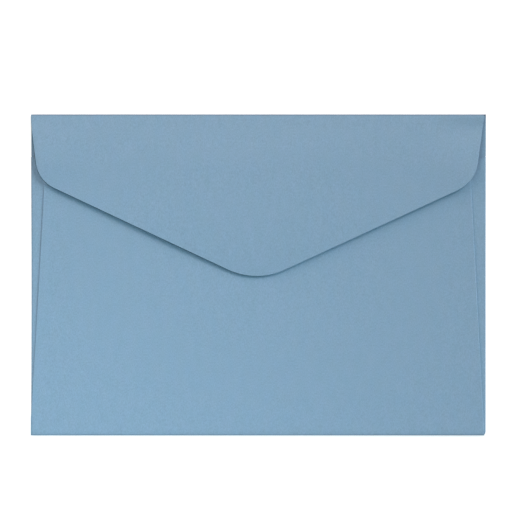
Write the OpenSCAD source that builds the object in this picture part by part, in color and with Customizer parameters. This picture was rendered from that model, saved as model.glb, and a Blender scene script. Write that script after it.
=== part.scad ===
// Paper envelope of one folded sheet, closed but not sealed, lying on its front panel, flap side up.
// X runs along the width, Y from the bottom fold to the top fold, and Z up through the layers of paper.
// The origin is under the middle of the front panel, on the surface that the envelope lies on.
// All sizes are in millimetres.

/* [Envelope] */
// Width over the two side folds
envelope_w = 229; // [190:1:270]
// Height from the bottom fold to the top fold
envelope_h = 162; // [145:1:200]
// Thickness of the paper
paper_t = 0.16; // [0.1:0.01:0.25]
// Clear height inside the empty pocket
pocket_gap = 0.5; // [0.3:0.05:1.5]
// Depth that two glued layers bed into each other
glue_bed = 0.02; // [0.01:0.01:0.05]

/* [Side flaps] */
// Width of each side flap, hidden under the back panel
side_flap_w = 16; // [10:0.5:30]
// Slant of the cut ends of the side flaps
side_flap_slant = 20; // [5:1:35]
// Length of front panel left bare below each side flap
side_flap_foot = 1.5; // [1.2:0.1:4]
// How far each side flap reaches above the back panel's top edge
side_flap_rise = 5.6; // [1:0.2:8]

/* [Back panel] */
// Distance of the back panel's side edges from the side folds, at the bottom fold
back_inset = 0.1; // [0.1:0.05:2]
// Lean of the back panel's side edges towards the middle
back_lean = 3.15; // [0.5:0.05:5]
// Distance that the back panel was folded off centre, to the right
back_shift = -0.6; // [-1:0.1:1]
// Depth of the back panel's top edge above the shoulders of the closing flap
throat_cover = 6.8; // [4:0.2:12]

/* [Closing flap] */
// Depth of the closing flap from the top fold to its tip
flap_depth = 81.6; // [72:0.2:95]
// Slope of the two long edges of the flap's point
flap_slope = 25; // [22:0.5:28]
// Lean of the flap's short side edges towards the middle
flap_lean = 7.25; // [4:0.05:10]
// Distance of the flap's side edges from the side folds, at the top fold
flap_inset = 0.45; // [0.2:0.05:3]
// Radius of the rounded shoulders
shoulder_r = 16.5; // [6:0.5:22]
// Radius of the rounded tip
tip_r = 33; // [15:1:60]
// Rise of the flap's bow above a straight line from fold to tip
flap_bow = 1.2; // [0.4:0.1:3]
// Distance that the flap lies off centre, to the right
flap_shift = -0.5; // [-1:0.05:1]
// Turn of the flap's outline in its own plane, clockwise as seen from above
flap_skew = 0.28; // [-0.5:0.01:0.5]
// Clear gap between the flap and the back panel, at the fold and at the tip
flap_clearance = 0.2; // [0.1:0.05:1]

/* [Hidden] */

// Number of segments of the round folds and of the flap's rounded corners
fold_fn = 48;
corner_fn = 96;
// Number of flat steps round the top fold and along the flap's bow
fold_steps = 24;
bow_steps = 24;

// Heights of the layers, from the surface up
side_flap_z = paper_t + pocket_gap;
back_z = side_flap_z + paper_t - glue_bed;
back_top_z = back_z + paper_t;
flap_z = back_top_z + flap_clearance;

// Outer radius of each fold, so that its two panels lie at the heights above
side_fold_r = (side_flap_z + paper_t) / 2;
bottom_fold_r = back_top_z / 2;
top_fold_r = (flap_z + paper_t) / 2;

// Length over which a folded panel and the front panel are modelled together
lap = 3;
// Height and bottom of the blocks that cut the folded panels to their outlines, past both faces of them all
cutter_h = 2 * (flap_z + flap_bow);
cutter_z = -flap_bow;

// The bow is a shallow arc that leaves the top fold without a crease; its centre is measured from the fold's
bow_span = flap_depth - top_fold_r;
bow_r = bow_span * bow_span / (8 * flap_bow) + flap_bow / 2;
bow_rise = asin(bow_span / 2 / bow_r);
bow_centre = (top_fold_r - bow_r) * [sin(bow_rise), cos(bow_rise)];

// Half of the flap's width at the top fold
flap_half_w = envelope_w / 2 - flap_inset;
// Depth of the tip circle's centre and of the points where the long edges touch it
tip_centre_d = flap_depth - tip_r;
tip_touch_x = tip_r * sin(flap_slope);
tip_touch_d = tip_centre_d + tip_r * cos(flap_slope);
// Length of each long edge from the tip circle to the sharp shoulder corner
long_edge = (flap_half_w - tip_touch_d * tan(flap_lean) - tip_touch_x)
    / (cos(flap_slope) - sin(flap_slope) * tan(flap_lean));
shoulder_x = tip_touch_x + long_edge * cos(flap_slope);
shoulder_d = tip_touch_d - long_edge * sin(flap_slope);
// Distance from the sharp shoulder corner to the points where its circle touches
shoulder_touch = shoulder_r * tan((90 - flap_slope - flap_lean) / 2);
// The touching points on the side edge and on the long edge, and the circle's centre
side_touch = [
    shoulder_x + shoulder_touch * sin(flap_lean),
    shoulder_d - shoulder_touch * cos(flap_lean)
];
long_touch = [
    shoulder_x - shoulder_touch * cos(flap_slope),
    shoulder_d + shoulder_touch * sin(flap_slope)
];
shoulder_centre = side_touch - shoulder_r * [cos(flap_lean), sin(flap_lean)];

// Depths below the top fold of the back panel's top edge and of the side flaps' upper ends
throat_d = shoulder_d - throat_cover;
side_flap_top_d = throat_d - side_flap_rise;

// Half width of the back panel at a height above the bottom fold
function back_half_w(height) = envelope_w / 2 - back_inset - height * tan(back_lean);

// Direction at an angle, as a point at distance one
function toward(angle) = [cos(angle), sin(angle)];

// Section of a sheet that turns back over itself, its fold's outside at zero and its panels to the left
module folded_section(fold_r, panel_l) {
    translate([-fold_r, fold_r]) difference() {
        circle(r = fold_r, $fn = fold_fn);
        circle(r = fold_r - paper_t, $fn = fold_fn);
        translate([-2 * fold_r, -fold_r]) square(2 * fold_r);
    }
    translate([-fold_r - lap, 0]) square([lap, paper_t]);
    translate([-panel_l, 2 * fold_r - paper_t]) square([panel_l - fold_r, paper_t]);
}

// Points of the closing flap's section on one face of the paper: round the top fold, then along the bow
function flap_face(depth_in_paper) = concat(
    [[-lap, depth_in_paper - top_fold_r]],
    [
        for (i = [0 : fold_steps])
            (top_fold_r - depth_in_paper) * toward(-90 + i * (180 - bow_rise) / fold_steps)
    ],
    [
        for (i = [1 : bow_steps + 1])
            bow_centre + (bow_r - depth_in_paper) * toward(90 - bow_rise + i * 2 * bow_rise / bow_steps)
    ]
);

// Section of the closing flap, with the top fold's outside at zero and the flap to the left
module bowed_section() {
    outside = flap_face(0);
    inside = flap_face(paper_t);
    translate([-top_fold_r, top_fold_r])
        polygon(concat(outside, [for (i = [len(inside) - 1 : -1 : 0]) inside[i]]));
}

// Section drawn in X and Z, run along Y
module run_along_y(length) {
    rotate([90, 0, 0]) linear_extrude(length, center = true) children();
}

// Section drawn in Y and Z, run along X
module run_along_x(length) {
    rotate([90, 0, 90]) linear_extrude(length, center = true) children();
}

// Keeps what lies inside an outline drawn in X and Y
module cut_to_outline() {
    intersection() {
        children(0);
        translate([0, 0, cutter_z]) linear_extrude(cutter_h) children(1);
    }
}

// Outline of the right side flap with its fold, measured from the middle of the envelope
module side_flap_outline() {
    fold_x = envelope_w / 2;
    bend_x = fold_x - side_fold_r;
    edge_x = fold_x - side_flap_w;
    slant = (bend_x - edge_x) * tan(side_flap_slant);
    low_y = side_flap_foot - envelope_h / 2;
    high_y = envelope_h / 2 - side_flap_top_d;
    polygon([
        [fold_x, low_y],
        [fold_x, high_y],
        [bend_x, high_y],
        [edge_x, high_y - slant],
        [edge_x, low_y + slant],
        [bend_x, low_y]
    ]);
}

// Outline of the back panel, narrowing from the bottom fold to its top edge
module back_outline() {
    throat_h = envelope_h - throat_d;
    translate([back_shift, -envelope_h / 2]) polygon([
        [-back_half_w(0), 0],
        [back_half_w(0), 0],
        [back_half_w(throat_h), throat_h],
        [-back_half_w(throat_h), throat_h]
    ]);
}

// Outline of the closing flap: short leaning sides, round shoulders, long edges and a round tip
module flap_outline() {
    translate([flap_shift, envelope_h / 2]) rotate(-flap_skew) mirror([0, 1]) {
        polygon([
            [-flap_half_w, -lap],
            [flap_half_w, -lap],
            [flap_half_w, 0],
            side_touch,
            shoulder_centre,
            long_touch,
            [tip_touch_x, tip_touch_d],
            [0, tip_centre_d],
            [-tip_touch_x, tip_touch_d],
            [-long_touch[0], long_touch[1]],
            [-shoulder_centre[0], shoulder_centre[1]],
            [-side_touch[0], side_touch[1]],
            [-flap_half_w, 0]
        ]);
        for (side = [-1, 1])
            translate([side * shoulder_centre[0], shoulder_centre[1]])
                circle(r = shoulder_r, $fn = corner_fn);
        translate([0, tip_centre_d]) circle(r = tip_r, $fn = corner_fn);
    }
}

// Front panel between the folds, full width where no side flap turns back
module front_panel() {
    low_y = bottom_fold_r - envelope_h / 2;
    high_y = envelope_h / 2 - top_fold_r;
    bend_x = envelope_w / 2 - side_fold_r;
    foot_y = side_flap_foot - envelope_h / 2;
    head_y = envelope_h / 2 - side_flap_top_d;
    linear_extrude(paper_t) {
        translate([-bend_x, low_y]) square([2 * bend_x, high_y - low_y]);
        translate([-envelope_w / 2, low_y]) square([envelope_w, foot_y - low_y]);
        translate([-envelope_w / 2, head_y]) square([envelope_w, high_y - head_y]);
    }
}

// Right side fold and the flap that it turns in over the pocket
module side_flap() {
    cut_to_outline() {
        translate([envelope_w / 2, 0]) run_along_y(envelope_h) folded_section(side_fold_r, side_flap_w);
        side_flap_outline();
    }
}

// Bottom fold and the back panel that it turns up over the side flaps
module back_panel() {
    cut_to_outline() {
        mirror([0, 1]) translate([0, envelope_h / 2]) run_along_x(envelope_w)
            folded_section(bottom_fold_r, envelope_h - throat_d);
        back_outline();
    }
}

// Top fold and the closing flap that it turns down over the back panel
module closing_flap() {
    cut_to_outline() {
        translate([0, envelope_h / 2]) run_along_x(envelope_w) bowed_section();
        flap_outline();
    }
}

module envelope() {
    color("#85A6C0") {
        front_panel();
        side_flap();
        mirror([1, 0]) side_flap();
        back_panel();
        closing_flap();
    }
}

envelope();
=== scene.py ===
import math

import bpy
import numpy as np
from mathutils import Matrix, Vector, noise


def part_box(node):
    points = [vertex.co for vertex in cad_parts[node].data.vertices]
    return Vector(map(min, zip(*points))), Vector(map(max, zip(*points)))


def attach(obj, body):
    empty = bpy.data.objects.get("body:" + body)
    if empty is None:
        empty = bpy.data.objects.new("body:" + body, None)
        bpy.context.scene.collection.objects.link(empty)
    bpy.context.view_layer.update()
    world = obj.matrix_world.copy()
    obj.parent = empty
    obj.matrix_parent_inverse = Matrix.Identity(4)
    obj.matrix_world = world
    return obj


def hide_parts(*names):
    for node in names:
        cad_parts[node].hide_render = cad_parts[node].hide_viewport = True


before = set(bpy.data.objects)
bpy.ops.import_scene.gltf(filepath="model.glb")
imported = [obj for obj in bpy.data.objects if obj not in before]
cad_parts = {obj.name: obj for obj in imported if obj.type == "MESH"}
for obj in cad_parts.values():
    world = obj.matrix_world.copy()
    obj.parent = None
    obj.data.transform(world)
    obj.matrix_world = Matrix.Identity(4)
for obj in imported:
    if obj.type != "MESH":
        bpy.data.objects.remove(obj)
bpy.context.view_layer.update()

# Shapes are worked out in millimetres and become metres when they are made. Their frame is the part's: X
# along the width, Y from the bottom fold to the top fold, and Z up through the layers.
MM = 0.001
box_low, box_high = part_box("envelope")
WIDTH = (box_high.x - box_low.x) / MM
HEIGHT = (box_high.y - box_low.y) / MM
HALF_W = WIDTH / 2
HALF_H = HEIGHT / 2

# The paper, the clear height of the empty pocket, and the gap that keeps the faces of two glued layers apart
PAPER_T = 0.16
POCKET_GAP = 0.5
GLUE_T = 0.02

# Side flaps: width, slant of the cut ends, and distance of these ends from the bottom fold and the top fold
SIDE_FLAP_W = 16
SIDE_FLAP_SLANT = math.radians(20)
SIDE_FLAP_FOOT = 1.5
SIDE_FLAP_TOP = 21.4

# Front panel where it is bare, above and below the side folds: inset of its left end, its two ends, and the
# height over which it steps in to the side folds
BARE_INSET = 0.15
BARE_ENDS = (BARE_INSET - HALF_W, HALF_W)
NOTCH = 0.4

# Back panel: depth of its top edge below the top fold, then of its left and its right side edge the place
# across at the bottom fold and the lean
THROAT_DEPTH = 27
BACK_LEFT = (-115.0, math.radians(3.27))
BACK_RIGHT = (113.8, math.radians(3.05))
# How far these edges stand off the side flaps, the width of the strip that is free to do so, and the length
# over which it rises from the bottom fold
LEFT_LIFT = 0.25
RIGHT_LIFT = 0.13
EDGE_FREE = 6
LIFT_RISE = 30

# Closing flap: depth from the top fold, and the place across and the radius of its tip
FLAP_DEPTH = 81.49
TIP_X = -0.98
TIP_R = 33.4
# Its left and its right half, a little unlike each other: half width at the top fold from the line through
# the tip, slope of the long edge, lean of the side edge and radius of the shoulder
FLAP_LEFT = (113.86, math.radians(25.17), math.radians(7.2), 15.5)
FLAP_RIGHT = (114.65, math.radians(24.72), math.radians(8.15), 17.9)
# How it stands off the back panel: the gap at the fold, the rise of its bow, and the lift of its tip with
# the share of the depth from which it lifts
FLAP_CLEARANCE = 0.2
FLAP_BOW = 1.1
TIP_LIFT = 0.5
TIP_LIFT_FROM = 0.35
# Two dips in it: depth, place across and width
LEFT_DIP = (0.28, -85, 45)
RIGHT_DIP = (0.34, 65, 38)
# Two swells and a tuck beside its short side edges: height, depth below the top fold and length
LEFT_SWELL = (0.5, 22, 14)
RIGHT_SWELL = (0.4, 30, 10)
RIGHT_TUCK = (-0.5, 7, 7)
# How far from the middle these start, and the width over which they come in
SWELL_X = 80
SWELL_W = 30
# How soon below the top fold the dips, the swells and the pocket's form come in: the flap's depth over the
# length that each takes
DIP_ONSET = 2
SWELL_ONSET = 16
POCKET_ONSET = 3

# The pocket's crown: its height, the power of its curve across, and the share of the envelope's height over
# which it rises from the bottom fold
CROWN = 0.5
CROWN_POWER = 2.4
CROWN_RISE = 0.6
# How far it draws in the left and the right side fold, and the bottom and top folds
LEFT_PULL = 0.27
RIGHT_PULL = 0.14
FOLD_PULL = 0.2
# Share of the height, from the top fold down, at which the left pull starts and the right one is complete,
# and share of the half width from which both act
LEFT_PULL_FROM = 0.1
RIGHT_PULL_FULL = 0.55
PULL_FROM = 0.6

# Faint waves of the paper: height, length, and the distance from the bottom fold over which they come in
WAVE = 0.06
WAVE_LENGTH = 55
WAVE_RISE = 12
# Where the waves of the back panel and of the closing flap lie in the noise, to be different ones
BACK_WAVES = 1.5
FLAP_WAVES = 4.5

# Heights of the middle of each layer of paper, and the outer radius of each fold between two layers
SIDE_Z = 1.5 * PAPER_T + POCKET_GAP
BACK_Z = SIDE_Z + PAPER_T
FLAP_Z = BACK_Z + PAPER_T + FLAP_CLEARANCE
SIDE_FOLD_R = SIDE_Z / 2 + PAPER_T / 4
BOTTOM_FOLD_R = BACK_Z / 2 + PAPER_T / 4
TOP_FOLD_R = FLAP_Z / 2 + PAPER_T / 4

# The mesh: number of columns across, greatest width of the outermost ones, number of steps round a fold (the
# top fold has twice as many), and distance between two rows and between two columns of a side flap
COLUMNS = 116
EDGE_COLUMN = 0.5
FOLD_STEPS = 10
ROW_STEP = 2.0
SIDE_FLAP_STEP = 1.5
# Number of the closing flap's rows along its side edges, shoulders, long edges and tip, and the angle beside
# the tip at which the last row ends, to keep some width
SIDE_ROWS = 14
SHOULDER_ROWS = 16
LONG_ROWS = 55
TIP_ROWS = 11
TIP_END = math.radians(2.5)
# Angle from which an edge of the mesh is shaded sharp
SHARP_ANGLE = math.radians(40)

# How far a cut edge is rounded out, and what more the flap's left cut edge has, which carries a painted
# shadow line
CUT_ROUND = 0.06
SHADOW_EDGE_ROUND = 0.2
# Where the painted shadow line comes in below the top fold, and where it passes into the plain edge near the
# tip: the depth or the place across at which each change starts, and its length
SHADOW_EDGE_START = (4, 5)
SHADOW_EDGE_END = (-14, 28)
# Inner corners of the sheet's rim, whose turn has a sine above this one, stay square
INNER_TURN = 0.2

# The dyed paper
PAPER_COLOUR = (0.2365, 0.376, 0.521)
PAPER_ROUGHNESS = 0.85
PAPER_SPECULAR = 0.3
# Its textures: scale, detail and strength
CLOUDS = (190, 3, 0.075)
GRAIN = (1600, 3, 0.54)
RED_TINT = (130, 3, 0.12)
BLUE_TINT = (150, 3, 0.09)
# Its bump: scale and detail, then strength and depth
BUMP = (2600, 3)
BUMP_STRENGTH = 0.3
BUMP_DEPTH = 0.05
# Its fibres lie a little more along Y
FIBRE_SCALE = (1.6, 0.8, 1.0)
# Sparse dark specks
SPECK_SCALE = 24
SPECK_SIZE = 0.006
SPECK_SHADE = 0.25
# Painted highlight along the back panel's right cut edge: how much lighter it is, and the share of it on the
# flap's right half
EDGE_HIGHLIGHT = 0.26
FLAP_HIGHLIGHT_SHARE = 0.3
# Painted shadow line on the flap's left cut edge: how much darker and less red, and the share from which it
# shows
SHADOW_EDGE_SHADE = 0.88
SHADOW_EDGE_RED_LOSS = 0.8
SHADOW_EDGE_FROM = 0.1
# Painted shadow in the open right end of the top fold: place, radius and how much darker it is
CORNER_SHADOW = (113.8, 80.38)
CORNER_SHADOW_R = 0.29
CORNER_SHADOW_DEPTH = 0.7
# Painted shade along the folds: width of the strip, and how much darker it is at each
FOLD_SHADE_W = 1.1
LEFT_FOLD_SHADE = 0.25
BOTTOM_FOLD_SHADE = 0.28
TOP_FOLD_SHADE = 0.45

# The floor, in metres: half its side, and its height, just under the part
FLOOR_HALF = 2.0
FLOOR_Z = -0.00002
# Its colour, and the light that it seems to give where it is looked at
FLOOR_COLOUR = (0.8, 0.8, 0.8, 1)
FLOOR_GLOW = 0.6
# The background is white where it is looked at
WHITE = (1, 1, 1, 1)

# Each lamp's name, azimuth and elevation in degrees, distance and size in metres, power in watts, and colour
LAMPS = [
    ("window_right", 45, 24, 3.0, 1.8, 83.1, (1.0, 0.9, 0.9)),
    ("side_right", 0, 24, 3.0, 1.8, 29.8, (0.58, 1.0, 1.0)),
    ("back_left", 135, 24, 3.0, 1.8, 38.1, (1.0, 0.88, 0.79)),
    ("low_left", 135, 10, 3.0, 0.9, 48.8, (1.0, 0.6, 0.47)),
    ("near_left", 210, 55, 0.35, 0.16, 0.365, (0.684, 0.95, 1.0)),
    ("near_front", 270, 35, 0.35, 0.16, 0.221, (0.693, 0.88, 1.0)),
]

# The photograph's view: the camera's sensor and lens, the width that it shows at the height of the back
# panel, where it is centred, and that height
SENSOR_W = 36
LENS = 100
VIEW_W = 261.8
VIEW_X = 0.78
VIEW_Y = 7.5
SEEN_SURFACE = 0.4


def smooth(value):
    """Eases from 0 to 1."""
    value = np.clip(value, 0, 1)
    return value * value * (3 - 2 * value)


def swell(place, height, middle, length):
    """A smooth hump about a place along or across the flap."""
    return height * np.exp(-(((place - middle) / length) ** 2))


def wave(x, y, layer):
    """Faint unevenness of the paper, different on each layer."""
    places = zip(x.flat, y.flat)
    waves = [noise.noise(Vector((a / WAVE_LENGTH, b / WAVE_LENGTH, layer))) for a, b in places]
    return WAVE * np.array(waves).reshape(x.shape)


def crown(x, y):
    """Height of the pocket's pillow above its flat back panel."""
    sideways = 1 - np.abs(x / HALF_W) ** CROWN_POWER
    upwards = 1 - (1 - np.clip((y + HALF_H) / (CROWN_RISE * HEIGHT), 0, 1)) ** 2
    return CROWN * np.clip(sideways, 0, 1) * upwards


def pull(x, y):
    """How far a point near a side fold is drawn towards the middle."""
    down = np.clip((HALF_H - y) / HEIGHT, 0, 1)
    left_share = np.clip((down - LEFT_PULL_FROM) / (1 - LEFT_PULL_FROM), 0, 1)
    left = LEFT_PULL * np.sin(math.pi * left_share)
    right = RIGHT_PULL * np.sin(math.pi / 2 * np.clip(down / RIGHT_PULL_FULL, 0, 1))
    near_edge = smooth((np.abs(x) / HALF_W - PULL_FROM) / (1 - PULL_FROM))
    return near_edge * np.where(x < 0, left, -right)


def across(lefts, rights, widths):
    """A grid of values whose rows run from left to right values, with a narrow column at each end."""
    share = np.empty((len(widths), COLUMNS + 1))
    for row, width in enumerate(widths):
        end = min(EDGE_COLUMN / width, 1 / COLUMNS)
        share[row, 1:-1] = np.linspace(end, 1 - end, COLUMNS - 1)
    share[:, 0] = 0
    share[:, -1] = 1
    return np.array(lefts)[:, None] * (1 - share) + np.array(rights)[:, None] * share


def row_points(lefts, rights, ys):
    """X and Y of a grid of level rows."""
    widths = rights - lefts
    return across(lefts, rights, widths), across(ys, ys, widths)


def steps(start, end, step):
    """Evenly spaced values from start to end, both kept."""
    return list(np.linspace(start, end, max(1, round(abs(end - start) / step)) + 1))


def front_rows():
    """Left end, right end and height of the front panel's rows, and the first and last with side folds."""
    foot = SIDE_FLAP_FOOT - HALF_H
    head = HALF_H - SIDE_FLAP_TOP
    low = BOTTOM_FOLD_R - HALF_H
    high = HALF_H - TOP_FOLD_R
    bend = HALF_W - SIDE_FOLD_R
    rows = [(*back_ends(0), low), (*BARE_ENDS, foot - NOTCH)]
    first = len(rows)
    rows += [(-bend, bend, y) for y in steps(foot, head, ROW_STEP)]
    last = len(rows) - 1
    rows += [(*BARE_ENDS, y) for y in steps(head + NOTCH, high, ROW_STEP)]
    return rows, first, last


def back_ends(height):
    """Left and right ends of the back panel at a height above the bottom fold."""
    left = BACK_LEFT[0] + height * math.tan(BACK_LEFT[1])
    return max(left, -HALF_W), BACK_RIGHT[0] - height * math.tan(BACK_RIGHT[1])


def flap_root_ends():
    """Left and right ends of the closing flap at the top fold."""
    return max(TIP_X - FLAP_LEFT[0], BARE_ENDS[0]), TIP_X + FLAP_RIGHT[0]


def flap_edge(half_w, slope, lean, shoulder_r):
    """Half of the closing flap's outline, from the top fold to the tip, as distances across and depths."""
    # The long edge touches the tip's circle and meets the side edge in a sharp corner
    tip_centre = FLAP_DEPTH - TIP_R
    touch_x = TIP_R * math.sin(slope)
    touch_d = tip_centre + TIP_R * math.cos(slope)
    long_edge = (half_w - touch_d * math.tan(lean) - touch_x) / (
        math.cos(slope) - math.sin(slope) * math.tan(lean)
    )
    corner = np.array([touch_x + long_edge * math.cos(slope), touch_d - long_edge * math.sin(slope)])
    # The shoulder's circle touches both edges
    reach = shoulder_r * math.tan((math.pi / 2 - slope - lean) / 2)
    side_touch = corner + reach * np.array([math.sin(lean), -math.cos(lean)])
    centre = side_touch - shoulder_r * np.array([math.cos(lean), math.sin(lean)])
    root = np.array([half_w - TOP_FOLD_R * math.tan(lean), TOP_FOLD_R])
    edge = [root + (side_touch - root) * s for s in np.linspace(0, 1, SIDE_ROWS)]
    for angle in np.linspace(lean, math.pi / 2 - slope, SHOULDER_ROWS + 1)[1:]:
        edge.append(centre + shoulder_r * np.array([math.cos(angle), math.sin(angle)]))
    start = edge[-1]
    end = np.array([touch_x, touch_d])
    edge += [start + (end - start) * s for s in np.linspace(0, 1, LONG_ROWS + 1)[1:]]
    for angle in np.linspace(slope, TIP_END, TIP_ROWS + 1)[1:]:
        edge.append(np.array([TIP_R * math.sin(angle), tip_centre + TIP_R * math.cos(angle)]))
    return np.array(edge)


class Sheet:
    """The middle surface of the folded sheet, gathered panel by panel.

    Two tables give, from 0 to 1 by the number of the point, how much painted highlight and how much painted
    shadow line the cut edges carry.
    """

    def __init__(self):
        self.points = []
        self.faces = []
        self.highlit = {}
        self.shadow_edge = {}

    def add(self, x, y, z):
        """Adds a grid of points and gives back their numbers."""
        first = len(self.points)
        self.points += list(np.stack([x, y, z], axis=-1).reshape(-1, 3))
        return np.arange(first, len(self.points)).reshape(np.shape(x))

    def join(self, ids):
        """Adds a face between each four neighbours of a grid."""
        a, b, c, d = ids[:-1, :-1], ids[:-1, 1:], ids[1:, 1:], ids[1:, :-1]
        self.faces += np.stack([a, b, c, d], axis=-1).reshape(-1, 4).tolist()


def add_front(sheet):
    """The front panel: gives back its points, its rows' heights, and the first and last with side folds."""
    rows, first, last = front_rows()
    lefts, rights, ys = (np.array(v, float) for v in zip(*rows))
    x, y = row_points(lefts, rights, ys)
    ids = sheet.add(x, y, np.full_like(x, PAPER_T / 2))
    sheet.join(ids)
    return ids, ys, first, last


def pocket_z(x, y):
    """Height of the middle of the back panel where it is glued down."""
    return BACK_Z + crown(x, y) + wave(x, y, BACK_WAVES) * smooth((y + HALF_H) / WAVE_RISE)


def back_z(x, y, lefts, rights):
    """Height of the middle of the back panel, whose side edges are free."""
    left = LEFT_LIFT * smooth(1 - (x - lefts[:, None]) / EDGE_FREE)
    right = RIGHT_LIFT * smooth(1 - (rights[:, None] - x) / EDGE_FREE)
    return pocket_z(x, y) + (left + right) * smooth((y + HALF_H) / LIFT_RISE)


def add_back(sheet, front_ids):
    """The bottom fold and the back panel, from the front panel's lowest row."""
    left, right = back_ends(0)
    middle_r = BOTTOM_FOLD_R - PAPER_T / 2
    turn = np.linspace(-math.pi / 2, -1.5 * math.pi, FOLD_STEPS + 1)[1:]
    fold_y = BOTTOM_FOLD_R - HALF_H + middle_r * np.cos(turn)
    x, y = row_points(np.full(FOLD_STEPS, left), np.full(FOLD_STEPS, right), fold_y)
    z = np.repeat((BOTTOM_FOLD_R + middle_r * np.sin(turn))[:, None], COLUMNS + 1, axis=1)
    fold_ids = sheet.add(x, y, z)
    heights = steps(BOTTOM_FOLD_R, HEIGHT - THROAT_DEPTH, ROW_STEP)[1:]
    ends = np.array([back_ends(h) for h in heights])
    x, y = row_points(ends[:, 0], ends[:, 1], np.array(heights) - HALF_H)
    panel_ids = sheet.add(x, y, back_z(x, y, ends[:, 0], ends[:, 1]))
    sheet.join(np.vstack([front_ids[:1], fold_ids, panel_ids])[:, ::-1])
    # The back panel's right cut edge carries a painted highlight
    sheet.highlit.update((point, 1) for point in panel_ids[:, -1].tolist())


def add_side(sheet, front_ids, ys, first, last, side):
    """One side fold and its flap, from the front panel's edge; side is -1 on the left and 1 on the right."""
    column = front_ids[first : last + 1, 0 if side < 0 else -1]
    y_fold = ys[first : last + 1]
    middle_r = SIDE_FOLD_R - PAPER_T / 2
    turn = np.linspace(-math.pi / 2, math.pi / 2, FOLD_STEPS + 1)[1:]
    x_fold = side * (HALF_W - SIDE_FOLD_R + middle_r * np.cos(turn))
    inward = np.array(steps(0, SIDE_FLAP_W - SIDE_FOLD_R, SIDE_FLAP_STEP)[1:])
    x_flap = side * (HALF_W - SIDE_FOLD_R - inward)
    x = np.tile(np.concatenate([x_fold, x_flap]), (len(y_fold), 1))
    slant = np.concatenate([np.zeros(FOLD_STEPS), inward]) * math.tan(SIDE_FLAP_SLANT)
    middle_y = (y_fold[0] + y_fold[-1]) / 2
    half_y = (y_fold[-1] - y_fold[0]) / 2
    y = middle_y + np.outer((y_fold - middle_y) / half_y, half_y - slant)
    z = np.empty_like(x)
    z[:, :FOLD_STEPS] = SIDE_FOLD_R + middle_r * np.sin(turn)
    under_back = SIDE_Z - BACK_Z - GLUE_T
    z[:, FOLD_STEPS:] = under_back + pocket_z(x[:, FOLD_STEPS:], y[:, FOLD_STEPS:])
    ids = np.hstack([column[:, None], sheet.add(x, y, z)])
    sheet.join(ids if side > 0 else ids[:, ::-1])


def flap_z(x, depth):
    """Height of the middle of the closing flap at a depth below the top fold."""
    y = HALF_H - depth
    along = (depth - TOP_FOLD_R) / (FLAP_DEPTH - TOP_FOLD_R)
    bow = 4 * FLAP_BOW * along * (1 - along)
    tip = TIP_LIFT * smooth((along - TIP_LIFT_FROM) / (1 - TIP_LIFT_FROM))
    dip = (swell(x, *LEFT_DIP) + swell(x, *RIGHT_DIP)) * smooth(along * DIP_ONSET)
    left = swell(depth, *LEFT_SWELL) * smooth((-x - SWELL_X) / SWELL_W)
    right = (swell(depth, *RIGHT_SWELL) + swell(depth, *RIGHT_TUCK)) * smooth((x - SWELL_X) / SWELL_W)
    sides = (left + right) * smooth(along * SWELL_ONSET)
    on_pocket = smooth(along * POCKET_ONSET)
    return FLAP_Z + bow + tip - dip + sides + on_pocket * (crown(x, y) + wave(x, y, FLAP_WAVES))


def add_top_fold(sheet):
    """The top fold, from the front panel's width to the closing flap's."""
    left, right = flap_root_ends()
    middle_r = TOP_FOLD_R - PAPER_T / 2
    turn = np.linspace(-math.pi / 2, math.pi / 2, 2 * FOLD_STEPS + 1)[1:-1]
    fold_y = HALF_H - TOP_FOLD_R + middle_r * np.cos(turn)
    past_top = 1 - np.cos(np.clip(turn, 0, None))
    lefts = BARE_ENDS[0] + (left - BARE_ENDS[0]) * past_top
    rights = BARE_ENDS[1] + (right - BARE_ENDS[1]) * past_top
    x, y = row_points(lefts, rights, fold_y)
    z = np.repeat((TOP_FOLD_R + middle_r * np.sin(turn))[:, None], COLUMNS + 1, axis=1)
    return sheet.add(x, y, z)


def along_edge(grid):
    """The values in a grid's first column, last row and last column: along the closing flap's cut edge."""
    return np.concatenate([grid[:, 0], grid[-1], grid[:, -1]])


def add_flap(sheet, front_ids):
    """The top fold and the closing flap, from the front panel's highest row."""
    fold_ids = add_top_fold(sheet)
    left_edge, right_edge = flap_edge(*FLAP_LEFT), flap_edge(*FLAP_RIGHT)
    widths = left_edge[:, 0] + right_edge[:, 0]
    x = np.maximum(TIP_X + across(-left_edge[:, 0], right_edge[:, 0], widths), BARE_ENDS[0])
    depth = across(left_edge[:, 1], right_edge[:, 1], widths)
    ids = sheet.add(x, HALF_H - depth, flap_z(x, depth))
    sheet.join(np.vstack([front_ids[-1:], fold_ids, ids]))
    # The flap's left cut edge carries the painted shadow line, the rest of its cut edge part of the painted
    # highlight
    edge = along_edge(ids).tolist()
    on_left = 1 - smooth((along_edge(x) - SHADOW_EDGE_END[0]) / SHADOW_EDGE_END[1])
    below_fold = smooth((along_edge(depth) - SHADOW_EDGE_START[0]) / SHADOW_EDGE_START[1])
    sheet.shadow_edge.update(zip(edge, on_left * below_fold))
    sheet.highlit.update(zip(edge, FLAP_HIGHLIGHT_SHARE * (1 - on_left)))


def point_normals(points, quads):
    """The direction off the sheet at each point, on the side that is inside the folded envelope."""
    diagonals = points[quads[:, 2]] - points[quads[:, 0]], points[quads[:, 3]] - points[quads[:, 1]]
    face_normals = np.cross(*diagonals)
    normals = np.zeros_like(points)
    for corner in range(4):
        np.add.at(normals, quads[:, corner], face_normals)
    return normals / np.linalg.norm(normals, axis=1)[:, None]


def rim_sides(quads):
    """The sides that no second face shares, each from its start to its end: the sheet's rim."""
    sides = [side for quad in quads.tolist() for side in zip(quad, quad[1:] + quad[:1])]
    known = set(sides)
    return [(start, end) for start, end in sides if (end, start) not in known]


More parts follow.
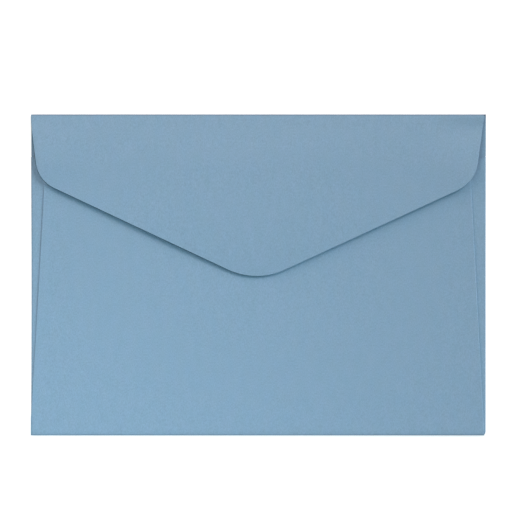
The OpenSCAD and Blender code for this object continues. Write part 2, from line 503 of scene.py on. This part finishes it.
def rim_outward(points, normals, rim):
    """The direction away from the sheet, along its surface, at each point of its rim."""
    outward = np.zeros_like(points)
    for start, end in rim:
        side = np.cross(points[end] - points[start], normals[start])
        outward[[start, end]] += side / np.linalg.norm(side)
    starts = [start for start, end in rim]
    return outward[starts] / np.linalg.norm(outward[starts], axis=1)[:, None]


def inner_corners(points, normals, rim):
    """Whether the rim turns into the sheet at each of its points."""
    before = {end: start for start, end in rim}
    starts, ends = np.array(rim).T
    comes = points[starts] - points[[before[start] for start in starts.tolist()]]
    goes = points[ends] - points[starts]
    turn = (np.cross(comes, goes) * normals[starts]).sum(axis=1)
    return turn < -INNER_TURN * np.linalg.norm(comes, axis=1) * np.linalg.norm(goes, axis=1)


def thick_faces(quads, rim, count):
    """Faces of both sides of the paper, each with a count of points, and of the rim between them."""
    middle = {start: 2 * count + place for place, (start, end) in enumerate(rim)}
    faces = quads.tolist() + (quads[:, ::-1] + count).tolist()
    for start, end in rim:
        faces.append((end, start, middle[start], middle[end]))
        faces.append((middle[end], middle[start], start + count, end + count))
    return faces


def thick_mesh(name, sheet):
    """A closed mesh: the middle surface moved out to both faces of the paper, with rounded cut edges."""
    points = np.array(sheet.points)
    quads = np.array(sheet.faces)
    normals = point_normals(points, quads)
    rim = rim_sides(quads)
    rim_ids = [start for start, end in rim]
    half = normals * PAPER_T / 2
    # The cut edge that carries the painted shadow line is rounded out further
    shadow_edge = np.array([sheet.shadow_edge.get(point, 0) for point in rim_ids])
    rounding = np.where(inner_corners(points, normals, rim), 0, CUT_ROUND + SHADOW_EDGE_ROUND * shadow_edge)
    rounded = points[rim_ids] + rim_outward(points, normals, rim) * rounding[:, None]
    flat = np.vstack([points + half, points - half, rounded])
    places = flat.copy()
    places[:, 0] += pull(flat[:, 0], flat[:, 1])
    places[:, 1] *= 1 - FOLD_PULL / HALF_H
    mesh = bpy.data.meshes.new(name)
    mesh.from_pydata((places * MM).tolist(), [], thick_faces(quads, rim, len(points)))
    mesh.validate()
    # Painted highlight on the cut edges, by point
    highlit = np.array([sheet.highlit.get(point, 0) for point in range(len(points))], float)
    highlit = np.concatenate([highlit, highlit, highlit[rim_ids]])
    mesh.attributes.new("edge_highlight", "FLOAT", "POINT").data.foreach_set("value", highlit)
    # Painted shadow line on the flap's left cut edge, on the rim's middle points
    shadow_edge = np.concatenate([np.zeros(2 * len(points)), shadow_edge])
    mesh.attributes.new("shadow_edge", "FLOAT", "POINT").data.foreach_set("value", shadow_edge)
    mesh.attributes.new("flat", "FLOAT_VECTOR", "POINT").data.foreach_set("vector", (flat * MM).ravel())
    mesh.polygons.foreach_set("use_smooth", np.ones(len(mesh.polygons), bool))
    mesh.set_sharp_from_angle(angle=SHARP_ANGLE)
    return mesh


class Graph:
    """The nodes of one material or of the world; a value is a number, a vector or another node's output."""

    def __init__(self, tree):
        self.nodes = tree.nodes
        self.links = tree.links

    def put(self, socket, value):
        """Sets an input to a value, or links it."""
        if isinstance(value, bpy.types.NodeSocket):
            self.links.new(value, socket)
        else:
            socket.default_value = value

    def made(self, kind, *values):
        """A new node with its first inputs filled."""
        node = self.nodes.new(kind)
        for socket, value in zip(node.inputs, values):
            self.put(socket, value)
        return node

    def maths(self, operation, first, second):
        """A sum, product, comparison and the like."""
        node = self.made("ShaderNodeMath", first, second)
        node.operation = operation
        return node.outputs["Value"]

    def product(self, first, second):
        """The product of two vectors, axis by axis."""
        node = self.made("ShaderNodeVectorMath", first, second)
        node.operation = "MULTIPLY"
        return node.outputs["Vector"]

    def scaled(self, vector, factor):
        """A vector times a number."""
        node = self.made("ShaderNodeVectorMath", vector)
        node.operation = "SCALE"
        self.put(node.inputs["Scale"], factor)
        return node.outputs["Vector"]

    def distance(self, first, second):
        """The distance between two places."""
        node = self.made("ShaderNodeVectorMath", first, second)
        node.operation = "DISTANCE"
        return node.outputs["Value"]

    def attribute(self, name):
        """The node that gives an attribute of the mesh."""
        node = self.nodes.new("ShaderNodeAttribute")
        node.attribute_name = name
        return node

    def texture(self, place, scale, detail):
        """Soft noise about 0.5."""
        node = self.made("ShaderNodeTexNoise", place)
        self.put(node.inputs["Scale"], scale)
        self.put(node.inputs["Detail"], detail)
        return node.outputs["Fac"]

    def varied(self, place, scale, detail, amount):
        """A factor about 1 that follows a texture."""
        texture = self.texture(place, scale, detail)
        return self.maths("ADD", self.maths("MULTIPLY", texture, amount), 1 - amount / 2)

    def darkened(self, mask, amount):
        """A factor of 1, less an amount where the mask is 1."""
        return self.maths("SUBTRACT", 1, self.maths("MULTIPLY", mask, amount))

    def mixed(self, factor, first, second):
        """The first shader where the factor is 0, and the second one where it is 1."""
        return self.made("ShaderNodeMixShader", factor, first, second).outputs["Shader"]


def fold_shade(graph, past_fold, shade):
    """A factor that paints shade on the strip along a fold."""
    ramp = graph.made("ShaderNodeMapRange", past_fold)
    ramp.interpolation_type = "SMOOTHSTEP"
    ramp.inputs["From Min"].default_value = -FOLD_SHADE_W * MM
    ramp.inputs["From Max"].default_value = 0
    ramp.inputs["To Min"].default_value = 1
    ramp.inputs["To Max"].default_value = 1 - shade
    return ramp.outputs["Result"]


def fold_shades(graph, flat):
    """Painted shade factors for the left, bottom and top folds."""
    axes = graph.made("ShaderNodeSeparateXYZ", flat).outputs
    past_left = graph.maths("SUBTRACT", -HALF_W * MM, axes["X"])
    past_bottom = graph.maths("SUBTRACT", -HALF_H * MM, axes["Y"])
    past_top = graph.maths("SUBTRACT", axes["Y"], HALF_H * MM)
    folds = (past_left, LEFT_FOLD_SHADE), (past_bottom, BOTTOM_FOLD_SHADE), (past_top, TOP_FOLD_SHADE)
    return [fold_shade(graph, past_fold, shade) for past_fold, shade in folds]


def specks(graph, place):
    """A factor that darkens the specks."""
    cells = graph.made("ShaderNodeTexVoronoi", place)
    cells.inputs["Scale"].default_value = SPECK_SCALE
    speck = graph.maths("LESS_THAN", cells.outputs["Distance"], SPECK_SIZE)
    return graph.darkened(speck, SPECK_SHADE)


def corner_shadow(graph, flat):
    """A factor that paints a shadow into the open right end of the top fold, seen in plan."""
    corner = (CORNER_SHADOW[0] * MM, CORNER_SHADOW[1] * MM, 0)
    distance = graph.distance(graph.product(flat, (1, 1, 0)), corner)
    in_shadow = graph.maths("LESS_THAN", distance, CORNER_SHADOW_R * MM)
    return graph.darkened(in_shadow, CORNER_SHADOW_DEPTH)


def dyed_colour(graph, place, fibres):
    """The paper's colour: clouds, grain, specks, creases, and the light or dark dye of its cut edges."""
    flat = graph.attribute("flat").outputs["Vector"]
    highlit = graph.attribute("edge_highlight").outputs["Fac"]
    # Painted shadow line along the flap's left cut edge, where its share is above a threshold
    shadow_edge = graph.maths("GREATER_THAN", graph.attribute("shadow_edge").outputs["Fac"], SHADOW_EDGE_FROM)
    shades = [
        graph.varied(fibres, *CLOUDS),
        graph.varied(fibres, *GRAIN),
        # Painted shade along the folds
        *fold_shades(graph, flat),
        specks(graph, place),
        # Painted shadow in the top fold's open end
        corner_shadow(graph, flat),
        # Painted highlight on the cut edges
        graph.maths("ADD", graph.maths("MULTIPLY", highlit, EDGE_HIGHLIGHT), 1),
        graph.darkened(shadow_edge, SHADOW_EDGE_SHADE),
    ]
    brightness = shades[0]
    for shade in shades[1:]:
        brightness = graph.maths("MULTIPLY", brightness, shade)
    # The painted shadow line is also less red
    red_left = graph.darkened(shadow_edge, SHADOW_EDGE_RED_LOSS)
    red = graph.maths("MULTIPLY", graph.varied(fibres, *RED_TINT), red_left)
    blue = graph.varied(fibres, *BLUE_TINT)
    tint = graph.made("ShaderNodeCombineXYZ", red, 1, blue).outputs["Vector"]
    return graph.scaled(graph.product(PAPER_COLOUR, tint), brightness)


def paper_material():
    """Matte dyed paper: soft cloudy formation, fine grain, short fibres and a few specks."""
    material = bpy.data.materials.new("blue_paper")
    material.use_nodes = True
    graph = Graph(material.node_tree)
    place = graph.nodes.new("ShaderNodeTexCoord").outputs["Object"]
    fibres = graph.product(place, FIBRE_SCALE)
    bump = graph.nodes.new("ShaderNodeBump")
    bump.inputs["Strength"].default_value = BUMP_STRENGTH
    bump.inputs["Distance"].default_value = BUMP_DEPTH * MM
    graph.put(bump.inputs["Height"], graph.texture(fibres, *BUMP))
    shader = graph.nodes["Principled BSDF"]
    shader.inputs["Roughness"].default_value = PAPER_ROUGHNESS
    shader.inputs["Specular IOR Level"].default_value = PAPER_SPECULAR
    graph.put(shader.inputs["Base Color"], dyed_colour(graph, place, fibres))
    graph.put(shader.inputs["Normal"], bump.outputs["Normal"])
    return material


def make_envelope():
    """The whole folded sheet, one closed piece."""
    sheet = Sheet()
    front_ids, ys, first, last = add_front(sheet)
    add_back(sheet, front_ids)
    add_side(sheet, front_ids, ys, first, last, -1)
    add_side(sheet, front_ids, ys, first, last, 1)
    add_flap(sheet, front_ids)
    piece = bpy.data.objects.new("folded_sheet", thick_mesh("folded_sheet", sheet))
    piece.data.materials.append(paper_material())
    bpy.context.scene.collection.objects.link(piece)
    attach(piece, "root")
    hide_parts("envelope")


def background_seen(graph):
    """1 for rays that look at the background: from the camera, off a gloss and through glass."""
    path = graph.nodes.new("ShaderNodeLightPath").outputs
    seen = path["Is Camera Ray"]
    for kind in ("Is Glossy Ray", "Is Transmission Ray"):
        seen = graph.maths("MAXIMUM", seen, path[kind])
    return seen


def floor_material():
    """Matte white that glows where it is looked at, so that it is seen as white and keeps the shadows."""
    material = bpy.data.materials.new("floor")
    material.use_nodes = True
    graph = Graph(material.node_tree)
    shader = graph.nodes["Principled BSDF"]
    shader.inputs["Base Color"].default_value = FLOOR_COLOUR
    shader.inputs["Roughness"].default_value = 1
    shader.inputs["Specular IOR Level"].default_value = 0
    matte = shader.outputs["BSDF"]
    glow = graph.nodes.new("ShaderNodeEmission")
    glow.inputs["Strength"].default_value = FLOOR_GLOW
    glowing = graph.made("ShaderNodeAddShader", matte, glow.outputs["Emission"]).outputs["Shader"]
    surface = graph.mixed(background_seen(graph), matte, glowing)
    graph.put(graph.nodes["Material Output"].inputs["Surface"], surface)
    return material


def make_floor():
    """A white floor that keeps the object's shadow."""
    mesh = bpy.data.meshes.new("floor")
    corners = [(-1, -1), (1, -1), (1, 1), (-1, 1)]
    mesh.from_pydata([(x * FLOOR_HALF, y * FLOOR_HALF, FLOOR_Z) for x, y in corners], [], [(0, 1, 2, 3)])
    mesh.materials.append(floor_material())
    floor = bpy.data.objects.new("floor", mesh)
    bpy.context.scene.collection.objects.link(floor)


def make_lamp(name, azimuth, elevation, distance, size, power, colour):
    """A soft round lamp aimed at the envelope; azimuth 0 is to the right, 90 above the top fold."""
    data = bpy.data.lights.new(name, "AREA")
    data.shape = "DISK"
    data.size = size
    data.energy = power
    data.color = colour
    lamp = bpy.data.objects.new(name, data)
    around = math.radians(azimuth)
    up = math.radians(elevation)
    away = Vector((math.cos(up) * math.cos(around), math.cos(up) * math.sin(around), math.sin(up)))
    lamp.location = distance * away
    lamp.rotation_mode = "QUATERNION"
    lamp.rotation_quaternion = away.to_track_quat("Z", "Y")
    bpy.context.scene.collection.objects.link(lamp)


def make_world():
    """A background that is seen as white and gives no light."""
    world = bpy.data.worlds.new("studio")
    world.use_nodes = True
    graph = Graph(world.node_tree)
    unlit = graph.nodes["Background"]
    unlit.inputs["Strength"].default_value = 0
    white = graph.made("ShaderNodeBackground", WHITE)
    surface = graph.mixed(background_seen(graph), unlit.outputs["Background"], white.outputs["Background"])
    graph.put(graph.nodes["World Output"].inputs["Surface"], surface)
    bpy.context.scene.world = world


def make_camera():
    """Straight above the envelope, framed as in the photograph."""
    data = bpy.data.cameras.new("camera")
    data.sensor_width = SENSOR_W
    data.lens = LENS
    camera = bpy.data.objects.new("camera", data)
    height = VIEW_W * LENS / SENSOR_W + SEEN_SURFACE
    camera.location = (VIEW_X * MM, VIEW_Y * MM, height * MM)
    bpy.context.scene.collection.objects.link(camera)
    bpy.context.scene.camera = camera


bpy.context.scene.view_settings.view_transform = "Standard"
make_envelope()
make_floor()
for lamp in LAMPS:
    make_lamp(*lamp)
make_world()
make_camera()
